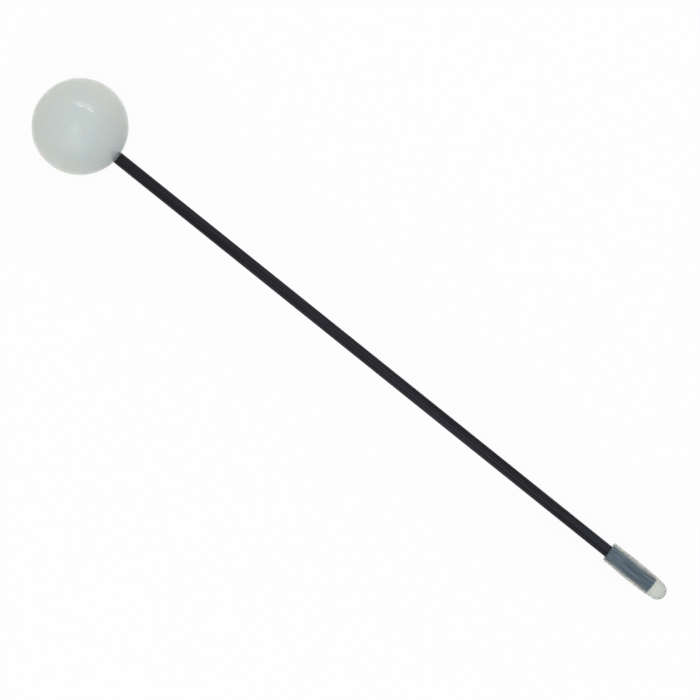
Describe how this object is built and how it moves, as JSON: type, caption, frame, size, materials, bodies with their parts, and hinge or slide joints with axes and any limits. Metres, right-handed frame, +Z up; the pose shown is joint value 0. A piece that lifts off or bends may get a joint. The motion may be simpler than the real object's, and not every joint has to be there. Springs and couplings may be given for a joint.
{
  "type": "friction mallet",
  "caption": "Friction mallet: a soft milky silicone ball bonded on a thin flexible carbon rod, with a translucent silicone cap stretched over the rod's other end.",
  "frame": {"origin": "on the table under the mallet as it lies at rest, at the centre of its outline seen from above", "axes": "+X from the ball towards the end cap, +Y level and square to the rod, +Z up from the table. The rod slopes down by 2.95 degrees towards +X, because the cap is thinner than the ball."},
  "size_m": [0.323, 0.0392, 0.039],
  "materials": {
    "milky_silicone": "satin",
    "carbon": "satin",
    "adhesive": "satin",
    "clear_silicone": "satin"
  },
  "bodies": {
    "mallet": {"ball_head": "milky_silicone", "carbon_rod": "carbon", "head_bond": "adhesive"},
    "cap": {"end_cap": "clear_silicone"}
  },
  "joints": [
    {"name": "cap_pull", "type": "slide", "parent": "mallet", "child": "cap", "axis": [0.9987, 0, -0.0514], "range_m": [0, 0.025]}
  ]
}
